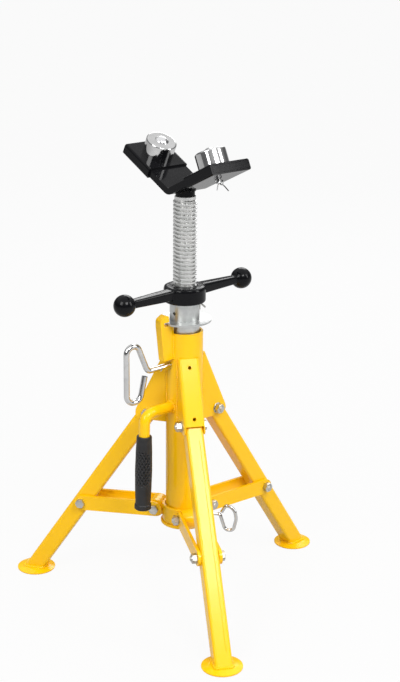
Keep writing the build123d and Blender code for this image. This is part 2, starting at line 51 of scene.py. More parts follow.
UP = Vector((0, 0, 1))
SMOOTH_ANGLE = math.radians(32)

MERGE_DISTANCE = 0.0005
BEAD_SIDES = 10
BEAD_STEP = 1.0
SHANK_SIDES = 28
CROWN_SHARE = 0.94
SHARP_CUT = 0.01

Colour = tuple[float, float, float]
Profile = Sequence[tuple[float, float]]


class Leg(Enum):
    """The three legs, by the azimuth of each about the column in degrees."""

    FRONT = -90.0
    LEFT = 150.0
    RIGHT = 30.0

    @property
    def label(self) -> str:
        """The word that node names use for this leg."""
        return self.name.lower()


def outward(azimuth: float) -> Vector:
    """The level unit vector that points away from the column at an azimuth in degrees."""
    turn = math.radians(azimuth)
    return Vector((math.cos(turn), math.sin(turn), 0))


def across(azimuth: float) -> Vector:
    """The level unit vector a quarter turn on from the outward one."""
    return outward(azimuth + 90)


def around(azimuth: float, reach: float, height: float, shift: float = 0.0) -> Vector:
    """A point given about the column.

    Args:
        azimuth: Degrees about the column.
        reach: Distance out from the column's axis.
        height: Height above the floor.
        shift: Distance sideways, a quarter turn on.

    Returns:
        The point, in millimetres.
    """
    return outward(azimuth) * reach + across(azimuth) * shift + UP * height


def place(origin: Vector, x_dir: Vector, z_dir: Vector) -> Matrix:
    """A placement from an origin, an x direction and a z direction.

    Args:
        origin: Where local zero goes.
        x_dir: Where local x points, made square to z_dir.
        z_dir: Where local z points.

    Returns:
        The matrix from local to row coordinates, in millimetres.
    """
    z_axis = z_dir.normalized()
    x_axis = (x_dir - z_axis * x_dir.dot(z_axis)).normalized()
    y_axis = z_axis.cross(x_axis)
    turned = Matrix((x_axis, y_axis, z_axis)).transposed().to_4x4()
    return Matrix.Translation(origin) @ turned


def leaning(azimuth: float, lean: float) -> tuple[Vector, Vector]:
    """The directions of a bar whose top leans in towards the column.

    Args:
        azimuth: Degrees about the column.
        lean: Degrees from upright.

    Returns:
        The direction up the bar, and the one out through its outer face.
    """
    tilt = math.radians(lean)
    rise = UP * math.cos(tilt) - outward(azimuth) * math.sin(tilt)
    out = outward(azimuth) * math.cos(tilt) + UP * math.sin(tilt)
    return rise, out


def turns(count: int) -> list[float]:
    """Angles at even steps once round a circle, in radians."""
    return [math.tau * i / count for i in range(count)]


def add_object(name: str, data: bpy.types.ID) -> bpy.types.Object:
    """Adds an object to the scene.

    Args:
        name: Its name.
        data: The mesh, light or camera that it shows.

    Returns:
        The object.
    """
    made = bpy.data.objects.new(name, data)
    bpy.context.scene.collection.objects.link(made)
    return made


def bolt_place(azimuth: float, reach: float, height: float, shift: float, sign: int) -> Matrix:
    """A placement on a level bolt's axis, with z pointing out through its head or its nut.

    Args:
        azimuth: Degrees about the column.
        reach: Distance of the bolt's axis from the column's.
        height: Height of the bolt.
        shift: Distance of local zero sideways.
        sign: 1 for the head's side and -1 for the nut's.

    Returns:
        The matrix from local to row coordinates.
    """
    return place(around(azimuth, reach, height, shift), outward(azimuth), across(azimuth) * sign)


class Value:
    """One shader socket, on which ordinary arithmetic adds Math nodes."""

    def __init__(self, graph: "Graph", socket: bpy.types.NodeSocket) -> None:
        """Keeps the socket and the graph that it belongs to."""
        self.graph = graph
        self.socket = socket

    def __add__(self, other: "Value | float") -> "Value":
        """Adds."""
        return self.graph.maths("ADD", self, other)

    __radd__ = __add__

    def __mul__(self, other: "Value | float") -> "Value":
        """Multiplies."""
        return self.graph.maths("MULTIPLY", self, other)

    __rmul__ = __mul__

    def __sub__(self, other: "Value | float") -> "Value":
        """Takes the other from this."""
        return self.graph.maths("SUBTRACT", self, other)

    def __rsub__(self, other: float) -> "Value":
        """Takes this from the other."""
        return self.graph.maths("SUBTRACT", other, self)

    def clamped(self) -> "Value":
        """This value, held between 0 and 1."""
        return self.graph.maths("MULTIPLY", self, 1.0, clamp=True)


class Graph:
    """The node graph of one material or of the world."""

    def __init__(self, name: str) -> None:
        """Starts an empty material of that name."""
        self.material = bpy.data.materials.new(name)
        self.material.use_nodes = True
        self._take(self.material.node_tree)

    @classmethod
    def inside(cls, tree: bpy.types.NodeTree) -> "Graph":
        """A graph over a node tree that isn't a material's, such as the world's.

        Args:
            tree: The tree, which is emptied.

        Returns:
            The graph, which has no material.
        """
        graph = cls.__new__(cls)
        graph._take(tree)
        return graph

    def _take(self, tree: bpy.types.NodeTree) -> None:
        """Empties a node tree and keeps hold of it.

        Args:
            tree: The tree.
        """
        self.nodes = tree.nodes
        self.links = tree.links
        self.nodes.clear()

    def node(
        self,
        kind: str,
        settings: Optional[dict[str, object]] = None,
        inputs: Optional[dict[str | int, object]] = None,
        output: str | int = 0,
    ) -> Value:
        """Adds one node.

        Args:
            kind: The node's type, without the ShaderNode prefix.
            settings: Properties set before anything else; "stops" fills a colour ramp.
            inputs: Values or links, by socket name or index.
            output: The socket that is returned.

        Returns:
            The chosen output.
        """
        made = self.nodes.new("ShaderNode" + kind)
        for key, value in (settings or {}).items():
            if key == "stops":
                self._fill_ramp(made.color_ramp, value)
            else:
                setattr(made, key, value)
        for key, value in (inputs or {}).items():
            if isinstance(value, Value):
                self.links.new(value.socket, made.inputs[key])
            else:
                made.inputs[key].default_value = value
        return Value(self, made.outputs[output]) if made.outputs else Value(self, None)

    @staticmethod
    def _fill_ramp(ramp: bpy.types.ColorRamp, stops: Sequence[tuple[float, float]]) -> None:
        """Sets a ramp's stops.

        Args:
            ramp: The ramp.
            stops: Pairs of position and grey level.
        """
        while len(ramp.elements) < len(stops):
            ramp.elements.new(0.5)
        for element, (position, level) in zip(ramp.elements, stops):
            element.position = position
            element.color = (level, level, level, 1)

    def maths(
        self,
        operation: str,
        first: "Value | float",
        second: "Value | float",
        clamp: bool = False,
    ) -> Value:
        """Adds a Math node.

        Args:
            operation: What it does.
            first: Its first input.
            second: Its second input.
            clamp: Whether the result is held between 0 and 1.

        Returns:
            The result.
        """
        settings = {"operation": operation, "use_clamp": clamp}
        return self.node("Math", settings, {0: first, 1: second})

    def mix(
        self,
        factor: "Value | float",
        first: "Value | Colour",
        second: "Value | Colour",
    ) -> Value:
        """Blends two colours.

        Args:
            factor: 0 gives the first and 1 the second.
            first: A colour or a colour socket.
            second: A colour or a colour socket.

        Returns:
            The blended colour.
        """
        pair = {6: self._as_colour(first), 7: self._as_colour(second)}
        return self.node("Mix", {"data_type": "RGBA"}, {0: factor, **pair}, output=2)

    @staticmethod
    def _as_colour(value: "Value | Colour") -> "Value | tuple[float, float, float, float]":
        """A colour with its alpha, or the socket unchanged."""
        return value if isinstance(value, Value) else (*value, 1.0)

    def position(self, stretch: Colour = (1, 1, 1)) -> Value:
        """The point on the object in metres, with each axis scaled by stretch."""
        place_on = self.node("TexCoord", output="Object")
        return self.node("VectorMath", {"operation": "MULTIPLY"}, {0: place_on, 1: stretch})

    def noise(self, size: float, detail: float = 3.0, where: Optional[Value] = None) -> Value:
        """Cloudy noise.

        Args:
            size: How large its features are, in millimetres.
            detail: Octaves.
            where: The coordinates, or none for the plain position.

        Returns:
            A value about 0.5.
        """
        inputs = {"Vector": where or self.position(), "Scale": 1 / (size * MM), "Detail": detail}
        return self.node("TexNoise", {"noise_dimensions": "3D"}, inputs, output="Fac")

    def ramp(self, value: Value, stops: Sequence[tuple[float, float]]) -> Value:
        """Maps a value through grey stops."""
        return self.node("ValToRGB", {"stops": stops}, {0: value})

    def bump(self, height: Value, depth: float, under: Optional[Value] = None) -> Value:
        """Relief.

        Args:
            height: The relief, from 0 to 1.
            depth: How deep that is, in millimetres.
            under: Another bump beneath this one.

        Returns:
            The normal.
        """
        inputs = {"Height": height, "Strength": 1.0, "Distance": depth * MM}
        if under is not None:
            inputs["Normal"] = under
        return self.node("Bump", None, inputs)

    def backdrop(self, gloss: float) -> Value:
        """How far a ray sees the white backdrop, by the ray's kind.

        Args:
            gloss: The share of it that reflections see.

        Returns:
            1 for what the camera sees directly or through glass, and 0 for plain light.
        """
        camera = self.node("LightPath", output="Is Camera Ray")
        shine = self.node("LightPath", output="Is Glossy Ray")
        glass = self.node("LightPath", output="Is Transmission Ray")
        return (camera + shine * gloss + glass).clamped()

    def surface(self, inputs: dict[str | int, object]) -> bpy.types.Material:
        """Ends the graph in a Principled shader.

        Args:
            inputs: The shader's sockets by name.

        Returns:
            The finished material.
        """
        shader = self.node("BsdfPrincipled", None, inputs)
        self.node("OutputMaterial", None, {"Surface": shader})
        return self.material


@dataclass(frozen=True)
class Enamel:
    """Sprayed and baked paint with a slight orange peel."""

    name: str
    colour: Colour
    thin: Colour
    roughness: float
    coat: float
    peel: float
    specular: float = 0.5
    cast: float = 0.0
    drift_size: float = 38.0
    fleck_size: float = 1.3
    peel_size: float = 1.5
    cast_size: float = 5.5
    gloss_size: float = 22.0
    gloss_spread: float = 0.14
    coat_roughness: float = 0.08

    def make(self) -> bpy.types.Material:
        """Builds the material.

        Returns:
            Paint whose colour, gloss and relief drift slightly over the surface.
        """
        graph = Graph(self.name)
        drift = graph.noise(self.drift_size, 2)
        fleck = graph.ramp(graph.noise(self.fleck_size, 2), [(0.3, 0.0), (0.72, 1.0)])
        body = graph.mix(drift * 0.55 + fleck * 0.08, self.colour, self.thin)
        relief = graph.bump(graph.noise(self.peel_size, 1), self.peel)
        if self.cast:
            relief = graph.bump(graph.noise(self.cast_size, 3), self.cast, relief)
        sheen = graph.noise(self.gloss_size, 4) * self.gloss_spread
        gloss = sheen + (self.roughness - self.gloss_spread / 2)
        return graph.surface({
            "Base Color": body,
            "Roughness": gloss,
            "Metallic": 0.0,
            "Specular IOR Level": self.specular,
            "Coat Weight": self.coat,
            "Coat Roughness": self.coat_roughness,
            "Normal": relief,
        })


@dataclass(frozen=True)
class Plating:
    """Metal plate on steel, with drawn streaks along the height and soft blotches, and painted
    shade in a thread's groove.
    """

    name: str
    colour: Colour
    dull: Colour
    roughness: float
    spread: float
    streak: float
    groove: Optional[tuple[float, float]] = None
    blotch_size: float = 16.0
    streak_size: float = 1.1
    streak_stretch: float = 0.03
    # Painted shade in a thread's groove: its dark grey colour, the size of its noise, its strength
    # and how much it roughens.
    grime: Colour = (0.34, 0.335, 0.32)
    grime_size: float = 4.0
    grime_share: float = 0.6
    grime_dulling: float = 0.2

    def make(self) -> bpy.types.Material:
        """Builds the material.

        Returns:
            Plated metal; with a groove, what lies inside those radii gets painted shade: it is
            darker and dull.
        """
        graph = Graph(self.name)
        blotch = graph.noise(self.blotch_size, 3)
        lines = graph.noise(self.streak_size, 2, graph.position((1, 1, self.streak_stretch)))
        dulled = graph.ramp(blotch, [(0.35, 0.0), (0.7, 1.0)])
        tint = graph.mix(dulled, self.colour, self.dull)
        half = self.spread * 0.5
        gloss = (blotch + lines) * half + (self.roughness - half)
        # Painted shade: towards the thread's roots a dark grey is mixed into the colour in patches,
        # and the roughness rises.
        if self.groove:
            inner, outer = self.groove
            level = {0: graph.position((1, 1, 0))}
            reach = graph.node("VectorMath", {"operation": "LENGTH"}, level, "Value")
            inward = {0: reach, 1: inner * MM, 2: outer * MM, 3: 1.0, 4: 0.0}
            depth = graph.node("MapRange", None, inward)
            groove_shade = (depth * graph.noise(self.grime_size, 4) * self.grime_share).clamped()
            tint = graph.mix(groove_shade, tint, self.grime)
            gloss = gloss + groove_shade * self.grime_dulling
        return graph.surface({
            "Base Color": tint,
            "Roughness": gloss,
            "Metallic": 1.0,
            "Normal": graph.bump(lines, self.streak),
        })


@dataclass(frozen=True)
class Rubber:
    """Moulded rubber, dull, with a fine grain."""

    name: str
    colour: Colour
    worn: Colour
    roughness: float
    bloom_size: float = 12.0
    bloom_spread: float = 0.12
    grain_size: float = 0.5
    grain: float = 0.05

    def make(self) -> bpy.types.Material:
        """Builds the material.

        Returns:
            Dark rubber with a grey bloom and a fine grain.
        """
        graph = Graph(self.name)
        bloom = graph.noise(self.bloom_size, 4)
        bloomed = graph.ramp(bloom, [(0.4, 0.0), (0.75, 1.0)])
        return graph.surface({
            "Base Color": graph.mix(bloomed, self.colour, self.worn),
            "Roughness": bloom * self.bloom_spread + (self.roughness - self.bloom_spread / 2),
            "Metallic": 0.0,
            "Normal": graph.bump(graph.noise(self.grain_size, 2), self.grain),
        })


class Finish(Enum):
    """Every finish on the stand."""

    YELLOW = Enamel("yellow_enamel", (0.98, 0.565, 0.004), (0.965, 0.54, 0.003),
                    roughness=0.20, coat=0.08, peel=0.02, specular=0.28)
    BLACK = Enamel("black_enamel", (0.004, 0.004, 0.005), (0.007, 0.007, 0.008),
                   roughness=0.12, coat=0.0, peel=0.02, specular=0.12)
    CAST_BLACK = Enamel("cast_black_enamel", (0.003, 0.003, 0.004), (0.006, 0.006, 0.007),
                        roughness=0.13, coat=0.0, peel=0.03, specular=0.16, cast=0.15)
    ZINC = Plating("zinc_plate", (0.68, 0.69, 0.68), (0.50, 0.515, 0.51),
                   roughness=0.36, spread=0.14, streak=0.01)
    # The groove's radii set where the thread's roots get painted shade.
    THREAD = Plating("zinc_thread", (0.84, 0.84, 0.83), (0.72, 0.73, 0.72),
                     roughness=0.30, spread=0.14, streak=0.01, groove=(15.4, 18.0))
    CHROME = Plating("chrome_plate", (0.66, 0.66, 0.66), (0.56, 0.56, 0.56),
                     roughness=0.08, spread=0.05, streak=0.004)
    FASTENER = Plating("bright_zinc", (0.62, 0.61, 0.58), (0.48, 0.47, 0.43),
                       roughness=0.38, spread=0.14, streak=0.008)
    BALL = Plating("ball_steel", (0.82, 0.82, 0.83), (0.76, 0.76, 0.77),
                   roughness=0.07, spread=0.04, streak=0.0)
    RUBBER = Rubber("black_rubber", (0.008, 0.008, 0.009), (0.017, 0.017, 0.018), roughness=0.48)


class Paintbox:
    """Makes each finish's material once, when it is first asked for."""

    def __init__(self) -> None:
        """Starts empty."""
        self._made: dict[Finish, bpy.types.Material] = {}

    def of(self, finish: Finish) -> bpy.types.Material:
        """The material of a finish.

        Args:
            finish: The finish.

        Returns:
            Its one material.
        """
        if finish not in self._made:
            self._made[finish] = finish.value.make()
        return self._made[finish]


PAINTBOX = Paintbox()


def dress(finish: Finish, *nodes: str) -> None:
    """Gives CAD nodes that keep their own shape a finish.

    Args:
        finish: The finish.
        nodes: Names of the nodes.
    """
    for name in nodes:
        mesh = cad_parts[name].data
        mesh.materials.clear()
        mesh.materials.append(PAINTBOX.of(finish))
        LOG.info("dressed %s in %s", name, finish.name.lower())


class Form:
    """A mesh under construction, in millimetres, of one or more closed shells."""

    def __init__(self, name: str) -> None:
        """Starts an empty form of that name."""
        self.name = name
        self.mesh = bmesh.new()

    def grid(self, rings: Sequence[Sequence[Vector]], closed_rows: bool, caps: bool = True) -> None:
        """Skins a stack of rings.

        Args:
            rings: Rings of points, each ring a closed loop of the same number of points.
            closed_rows: Whether the last ring joins the first.
            caps: Whether an open stack's two ends are filled.
        """
        rows = [[self.mesh.verts.new(point) for point in ring] for ring in rings]
        count = len(rows[0])
        pairs = list(zip(rows, rows[1:]))
        if closed_rows:
            pairs.append((rows[-1], rows[0]))
        for low, high in pairs:
            for i in range(count):
                j = (i + 1) % count
                self.mesh.faces.new((low[i], low[j], high[j], high[i]))
        if caps and not closed_rows:
            self.mesh.faces.new(list(reversed(rows[0])))
            self.mesh.faces.new(rows[-1])

    def lathe(self, profile: Profile, where: Matrix, steps: int = 48) -> None:
        """Turns a closed outline about local z.

        Args:
            profile: Corners as radius and height, round the outline once.
            where: The placement of the local axes.
            steps: Divisions round the axis.
        """
        rings = []
        for radius, height in profile:
            rings.append([
                where @ Vector((radius * math.cos(a), radius * math.sin(a), height))
                for a in turns(steps)
            ])
        self.grid(rings, closed_rows=True)

    def sweep(
        self,
        points: Sequence[Vector],
        radius: float | Callable[[int], float],
        sides: int = 16,
        closed: bool = False,
    ) -> None:
        """Runs a round section along a path.

        Args:
            points: The path.
            radius: The section's radius, or a function of the point's number.
            sides: Divisions round the section.
            closed: Whether the path is a loop.
        """
        count = len(points)
        rings = []
        normal: Optional[Vector] = None
        for i, point in enumerate(points):
            before = points[i - 1] if i or closed else point
            after = points[(i + 1) % count] if i + 1 < count or closed else point
            along = (after - before).normalized()
            if normal is None:
                normal = along.orthogonal().normalized()
            normal = (normal - along * normal.dot(along)).normalized()
            side = along.cross(normal)
            size = radius(i) if callable(radius) else radius
            rings.append([
                point + (normal * math.cos(a) + side * math.sin(a)) * size
                for a in turns(sides)
            ])
        self.grid(rings, closed_rows=closed)

    def weld(
        self,
        path: Sequence[Vector],
        size: float,
        ripple: float,
        seed: float,
        closed: bool = False,
    ) -> None:
        """Lays a weld bead along a path of closely spaced points.

        Args:
            path: The points.
            size: The bead's mean radius.
            ripple: How much each ripple swells, as a share.
            seed: Offset of the slow drift.
            closed: Whether the path is a loop.
        """
        self.sweep(path, bead_radius(size, ripple, seed), BEAD_SIDES, closed=closed)

    def hexagon(
        self,
        where: Matrix,
        flats: float,
        height: float,
        both_ends: bool,
        steps: int = 8,
    ) -> None:
        """A hexagon bar end with its corners turned off at 30 degrees.

        Args:
            where: Placement; the hexagon stands on local zero and rises along z.
            flats: Width across the flats.
            height: Height.
            both_ends: Whether the seat side is turned off as well, as on a nut.
            steps: Points along each flat.
        """
        apothem = flats / 2
        crown = apothem * CROWN_SHARE
        loops: dict[str, list[Vector]] = {"seat": [], "low": [], "high": [], "top": []}
        for angle in turns(6 * steps):
            reach = apothem / math.cos(angle % (math.pi / 3) - math.pi / 6)
            cut = (reach - crown) * math.tan(math.radians(30))
            ray = Vector((math.cos(angle), math.sin(angle), 0))
            seat = crown if both_ends else reach - SHARP_CUT
            loops["seat"].append(where @ (ray * seat))
            low = cut if both_ends else SHARP_CUT
            loops["low"].append(where @ (ray * reach + UP * low))
            loops["high"].append(where @ (ray * reach + UP * (height - cut)))
            loops["top"].append(where @ (ray * crown + UP * height))
        self.grid(list(loops.values()), closed_rows=False)

    def finish(
        self,
        finish: Finish,
        body: str,
        stands_for: Iterable[str] = (),
        smooth: float = SMOOTH_ANGLE,
    ) -> bpy.types.Object:
        """Turns the form into a piece of the stand.

        Args:
            finish: What it is coated with.
            body: The CAD body that carries it.
            stands_for: CAD nodes that it replaces.
            smooth: Edges sharper than this angle stay crisp.

        Returns:
            The Blender object, at the origin.
        """
        bmesh.ops.remove_doubles(self.mesh, verts=self.mesh.verts, dist=MERGE_DISTANCE)
        bmesh.ops.dissolve_degenerate(self.mesh, edges=self.mesh.edges, dist=MERGE_DISTANCE)
        bmesh.ops.recalc_face_normals(self.mesh, faces=self.mesh.faces)
        for face in self.mesh.faces:
            face.smooth = True
        for edge in self.mesh.edges:
            edge.smooth = len(edge.link_faces) == 2 and edge.calc_face_angle(0.0) < smooth
        bmesh.ops.scale(self.mesh, vec=(MM, MM, MM), verts=self.mesh.verts)
        data = bpy.data.meshes.new(self.name)
        self.mesh.to_mesh(data)
        self.mesh.free()
        data.materials.append(PAINTBOX.of(finish))
        piece = add_object(self.name, data)
        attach(piece, body)
        names = tuple(stands_for)
        if names:
            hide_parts(*names)
        LOG.info("made %s on %s", self.name, body)
        return piece


def bead_radius(size: float, ripple: float, seed: float) -> Callable[[int], float]:
    """How a weld bead swells from point to point.

    Args:
        size: Its mean radius.
        ripple: How much each ripple swells, as a share.
        seed: Offset of the slow drift.

    Returns:
        A function from the point's number to the radius.
    """

    def at(i: int) -> float:
        """The radius at one point."""
        drift = noise.noise(Vector((i * 0.13, seed, 0)))
        return size * (1 + ripple * math.cos(i * 1.9) + 0.12 * drift)

    return at


def spaced(points: Sequence[Vector], step: float, closed: bool) -> list[Vector]:
    """Points at an even step along a path.

    Args:
        points: Corners of the path.
        step: Distance between points.
        closed: Whether the path returns to its start.

    Returns:
        The evenly spaced points.
    """
    ends = list(points) + ([points[0]] if closed else [])
    lengths = [(b - a).length for a, b in zip(ends, ends[1:])]
    total = sum(lengths)
    count = max(3, round(total / step))
    result = []
    for i in range(count if closed else count + 1):
        left = total * i / count
        for a, b, length in zip(ends, ends[1:], lengths):
            if left <= length + 1e-6:
                result.append(a.lerp(b, min(1.0, left / length)))
                break
            left -= length
    return result


@dataclass
class Column:
    """The fixed column with its brackets, hook, carry handle and stop ring."""

    radius: float = 30.15
    bracket_half: float = 17.2
    bracket_foot: float = 306.5
    bracket_top: float = 422.0
    handle_azimuth: float = 210.0
    handle_height: float = 337.0
    handle_radius: float = 9.0
    hook_half: float = 6.35
    hook_span: tuple[float, float] = (421.0, 460.0)
    bead: float = 2.1
    bead_shift: float = 0.2
    bead_top_gap: float = 3.0
    bead_foot_gap: float = 2.0
    handle_bead: float = 2.4
    hook_bead: float = 2.0

    def build(self) -> None:
        """Dresses the steel and lays the welds."""
        nodes = ["column_tube", "stop_ring", "hold_down_hook", "handle_rod"]
        nodes += [f"bracket_{leg.label}" for leg in Leg]
        dress(Finish.YELLOW, *nodes)
        self.bracket_welds()
        self.small_welds()

    def wall_point(self, azimuth: float, shift: float, height: float) -> Vector:
        """The column's outer wall beside an azimuth."""
        reach = math.sqrt(self.radius**2 - shift**2)
        return around(azimuth, reach, height, shift)

    def bracket_welds(self) -> None:
        """Lays a bead down each side of each bracket."""
        for leg in Leg:
            beads = Form(f"bracket_weld_{leg.label}")
            for side in (1, -1):
                shift = side * (self.bracket_half + self.bead_shift)
                span = (self.bracket_top - self.bead_top_gap,
                        self.bracket_foot + self.bead_foot_gap)
                ends = [self.wall_point(leg.value, shift, height) for height in span]
                beads.weld(spaced(ends, BEAD_STEP, False), self.bead, 0.22, side + leg.value)
            beads.finish(Finish.YELLOW, "column")

    def small_welds(self) -> None:
        """Lays the beads of the handle and the hook."""
        beads = Form("handle_weld")
        ring = []
        for turn in turns(60):
            shift = self.handle_radius * math.cos(turn)
            height = self.handle_height + self.handle_radius * math.sin(turn)
            ring.append(self.wall_point(self.handle_azimuth, shift, height))
        beads.weld(ring, self.handle_bead, 0.2, 3.0, closed=True)
        beads.finish(Finish.YELLOW, "column")
        beads = Form("hook_weld")
        for side in (1, -1):
            ends = [self.wall_point(self.handle_azimuth, side * self.hook_half, height)
                    for height in self.hook_span]
            beads.weld(spaced(ends, BEAD_STEP, False), self.hook_bead, 0.15, side)
        beads.finish(Finish.YELLOW, "column")


@dataclass
class Grip:
    """The rubber grip on the leaning rod, with a panel of dimples on each side."""

    azimuth: float = 210.0
    corner_reach: float = 86.3
    corner_height: float = 337.0
    lean: float = 1.7
    foot_drop: float = 162.0
    length: float = 126.0
    bore: float = 9.1
    panel_low: float = 42.0
    panel_high: float = 102.0
    panel_turn: float = 0.4
    panel_wide: float = 1.25
    panel_edge: float = 6.0
    panel_radius: float = 13.8
    dimple_wide: float = 6.2
    dimple_tall: float = 9.6
    dimple_depth: float = 2.2
    dimple_share: float = 0.33
    dimple_edge: float = 2.5
    foot_dots: int = 22
    dot_height: float = 9.5
    dot_radius: float = 1.5
    dot_depth: float = 0.9
    rim_radius: float = 13.2
    rim_depth: float = 6.0
    crisp_angle: float = 50.0
    steps_round: int = 144
    steps_up: int = 170

    def outer(self, height: float) -> float:
        """The smooth outer radius.

        Args:
            height: Height above the grip's foot.

        Returns:
            The radius there.
        """
        knots = [(0.0, 12.5), (1.5, 13.85), (7.0, 13.85), (11.0, 12.6), (40.0, 13.5), (66.0, 13.95),
                 (96.0, 13.4), (122.0, 12.5), (124.8, 12.4), (self.length, 11.7)]
        for (low, first), (high, second) in zip(knots, knots[1:]):
            if height <= high:
                share = (height - low) / (high - low)
                share = share * share * (3 - 2 * share)
                return first + (second - first) * share
        return knots[-1][1]

    def dimple(self, arc: float, height: float) -> float:
        """The staggered diamond pattern.

        Args:
            arc: Distance round the grip.
            height: Height above its foot.

        Returns:
            How deep the pattern is there, from 0 to 1.
        """
        row = height / (self.dimple_tall / 2)
        column = arc / self.dimple_wide
        nearest = 9.0
        for r in (math.floor(row), math.floor(row) + 1):
            offset = 0.5 * (r % 2)
            c = round(column - offset) + offset
            nearest = min(nearest, abs(row - r) * 0.5 + abs(column - c))
        return min(1.0, max(0.0, 1 - nearest / self.dimple_share) * self.dimple_edge)

    def panel(self, turn: float, height: float) -> float:
        """The two oval panels that hold the dimples.

        Args:
            turn: Angle round the grip, in radians.
            height: Height above its foot.

        Returns:
            1 well inside either panel, 0 outside, and between the two at its edge.
        """
        middle = (self.panel_low + self.panel_high) / 2
        tall = (self.panel_high - self.panel_low) / 2
        best = 0.0
        for centre in (self.panel_turn, math.pi + self.panel_turn):
            wide = (turn - centre + math.pi) % math.tau - math.pi
            best = max(best, 1 - (wide / self.panel_wide) ** 4 - ((height - middle) / tall) ** 4)
        return min(1.0, max(0.0, best * self.panel_edge))

    def foot_dot(self, turn: float, height: float) -> float:
        """The row of dots above the foot's rim.

        Args:
            turn: Angle round the grip, in radians.
            height: Height above its foot.

        Returns:
            How deep a dot is there, from 0 to 1.
        """
        share = turn / math.tau * self.foot_dots
        arc = abs(share - round(share)) * math.tau * self.rim_radius / self.foot_dots
        return max(0.0, 1 - math.hypot(arc, height - self.dot_height) / self.dot_radius)

    def build(self) -> None:
        """Models the grip over its CAD solid."""
        form = Form("grip_rubber")
        rise, out = leaning(self.azimuth, self.lean)
        side = across(self.azimuth)
        corner = around(self.azimuth, self.corner_reach, self.corner_height)
        foot = corner - rise * self.foot_drop

        def spot(turn: float, radius: float, height: float) -> Vector:
            """A point about the grip's own axis."""
            return foot + rise * height + (out * math.cos(turn) + side * math.sin(turn)) * radius

        rings = []
        for k in range(self.steps_up + 1):
            height = self.length * k / self.steps_up
            ring = []
            for turn in turns(self.steps_round):
                radius = self.outer(height) - self.dot_depth * self.foot_dot(turn, height)
                inside = self.panel(turn, height)
                if inside:
                    dip = self.dimple(turn * self.panel_radius, height)
                    radius -= self.dimple_depth * inside * dip
                ring.append(spot(turn, radius, height))
            rings.append(ring)
        for height in (self.length, self.length - self.rim_depth):
            rings.append([spot(turn, self.bore, height) for turn in turns(self.steps_round)])
        form.grid(rings, closed_rows=False)
        form.finish(Finish.RUBBER, "column", ["handle_grip"], math.radians(self.crisp_angle))


@dataclass
class InnerTube:
    """The telescoping tube, its stop flange and the small clip under the nut."""

    radius: float = 24.15
    flange_foot: float = 478.5
    bead: float = 1.5
    bead_reach: float = 0.3
    bead_drop: float = 0.4

    def build(self) -> None:
        """Dresses the tube and lays the flange's weld."""
        dress(Finish.ZINC, "inner_tube", "stop_flange")
        dress(Finish.FASTENER, "tube_clip")
        bead = Form("flange_weld")
        reach, height = self.radius + self.bead_reach, self.flange_foot - self.bead_drop
        ring = [around(azimuth, reach, height) for azimuth in range(0, 360, 3)]
        bead.weld(ring, self.bead, 0.1, 5.0, closed=True)
        bead.finish(Finish.ZINC, "inner_tube")


@dataclass
class JackScrew:
    """The screw with its real helix."""

    crest: float = 19.05
    root: float = 15.7
    pitch: float = 6.35
    crest_flat: float = 2.35
    root_flat: float = 1.9
    foot: float = 445.0
    thread_top: float = 677.0
    top: float = 683.0
    bore: float = 9.6
    bore_depth: float = 65.0
    neck: float = 17.0
    neck_edge: float = 0.8
    bore_edge: float = 0.4
    steps: int = 72
    crisp_angle: float = 25.0

    def build(self) -> None:
        """Cuts the thread and closes both ends."""
        form = Form("screw_thread")
        flank = (self.pitch - self.crest_flat - self.root_flat) / 2
        breaks = [(0.0, self.root), (flank, self.crest), (flank + self.crest_flat, self.crest),
                  (2 * flank + self.crest_flat, self.root)]
        low, high = self.foot + 1.5, self.thread_top - 0.5
        rounds = int((self.thread_top - self.foot) / self.pitch) + 2
        columns: list[list[Vector]] = []
        for j in range(self.steps + 1):
            share = j / self.steps
            column = []
            for turn in range(-1, rounds):
                for offset, radius in breaks:
                    height = self.foot + (turn + share) * self.pitch + offset
                    held = min(high, max(low, height))
                    size = radius if held == height else self.root
                    angle = -math.tau * share
                    column.append(Vector((size * math.cos(angle), size * math.sin(angle), held)))
            columns.append(column)
        self.skin(form, columns)
        bottom = [(0.0, self.foot), (self.root - 1, self.foot), (self.root, self.foot + 1),
                  (self.root, low), (self.root - 0.02, low), (0.0, low)]
        form.lathe(bottom, Matrix.Identity(4), self.steps)
        seat = self.top - self.bore_depth
        head = [(self.bore, seat), (self.bore, self.top - self.bore_edge),
                (self.bore + self.bore_edge, self.top), (self.neck - self.neck_edge, self.top),
                (self.neck, self.top - self.neck_edge), (self.neck, high + self.neck_edge),
                (self.root, high), (self.root - 0.5, seat)]
        form.lathe(head, Matrix.Identity(4), self.steps)
        form.finish(Finish.THREAD, "screw", ["jack_screw"], math.radians(self.crisp_angle))

    @staticmethod
    def skin(form: Form, columns: Sequence[Sequence[Vector]]) -> None:
        """Joins neighbouring columns of the helix.

        Args:
            form: The form that takes the faces.
            columns: Points up the thread, one column to a step; the last is a pitch up.
        """
        made = [[form.mesh.verts.new(point) for point in column] for column in columns]
        for left, right in zip(made, made[1:]):
            for k in range(len(left) - 1):
                corners = (left[k], left[k + 1], right[k + 1], right[k])
                edges = (corners[:2], corners[2:])
                if any((a.co - b.co).length > 1e-6 for a, b in edges):
                    form.mesh.faces.new(corners)


